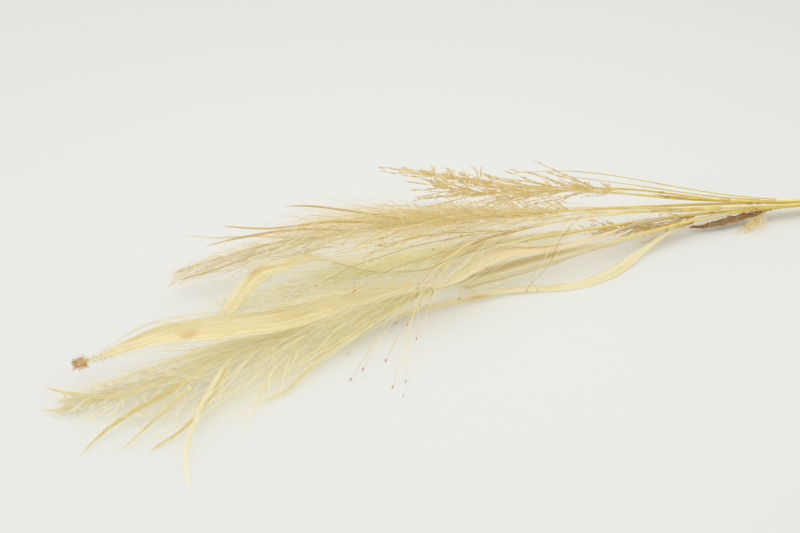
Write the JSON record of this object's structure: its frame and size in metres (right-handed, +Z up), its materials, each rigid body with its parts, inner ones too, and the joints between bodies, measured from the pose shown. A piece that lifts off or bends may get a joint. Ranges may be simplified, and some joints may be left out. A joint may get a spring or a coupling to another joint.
{
  "type": "bundle of dried grass",
  "caption": "Loose bundle of dried broom grass with straw culms, feathery plumes, airy seed heads, wiry bristles and long curled leaves, lying flat.",
  "frame": {"origin": "middle of the bundle's outline, on the surface it lies on", "axes": "+X along the bundle from the plume tips to the cut ends, +Z up"},
  "size_m": [0.7652, 0.208, 0.0692],
  "materials": {
    "straw": "satin dried straw",
    "leaf": "matt dried leaf",
    "pale_plume": "matt downy fibre",
    "gold_plume": "matt downy fibre",
    "seed": "matt dry husk",
    "bristle": "matt dry bristle",
    "husk": "matt dry scrap"
  },
  "bodies": {
    "root": {"culm_front": "straw", "culm_middle": "straw", "culm_rear": "straw", "culm_spray": "straw", "culm_top": "straw", "culm_back": "straw", "stalk_arch": "straw", "stalk_thin": "straw", "sheath_top": "straw", "sheath_spray": "straw", "leaf_broad": "leaf", "leaf_low": "leaf", "leaf_mid": "leaf", "leaf_folded": "leaf", "plume_front": "pale_plume", "plume_middle": "pale_plume", "plume_back": "gold_plume", "panicle_top": "seed", "panicle_rear": "seed", "panicle_inner": "seed", "tuft_low": "seed", "bristle_spray": "bristle", "husk_low": "husk"}
  },
  "joints": []
}
